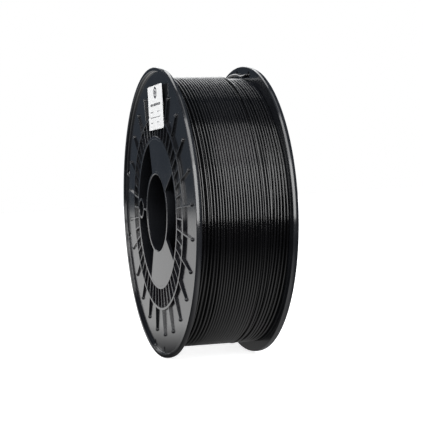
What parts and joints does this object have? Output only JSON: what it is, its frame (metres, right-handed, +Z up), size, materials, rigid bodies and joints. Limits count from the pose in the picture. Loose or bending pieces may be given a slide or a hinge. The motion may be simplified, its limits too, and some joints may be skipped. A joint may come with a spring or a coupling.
{
  "type": "filament spool",
  "caption": "Full spool of black printer filament: ribbed round flanges on a hollow drum and hub tube, wound with glossy strand, with a small paper label on the front flange.",
  "frame": {"origin": "centre of the spool: on its axis, midway between the outermost planes of the two rims", "axes": "+Z up with the spool standing on its rims, Y along the spool's axis, the labelled front flange facing -Y, the drive holes on the -X side"},
  "size_m": [0.2, 0.067, 0.2],
  "materials": {
    "spool_plastic": "black injection-moulded plastic, polished outer faces",
    "filament": "glossy black extruded strand",
    "label_paper": "matt white printed sticker"
  },
  "bodies": {
    "root": {"front_flange": "spool_plastic", "rear_flange": "spool_plastic", "filament_coil": "filament", "filament_outer_layer": "filament", "filament_tail": "filament", "label": "label_paper"}
  },
  "joints": []
}
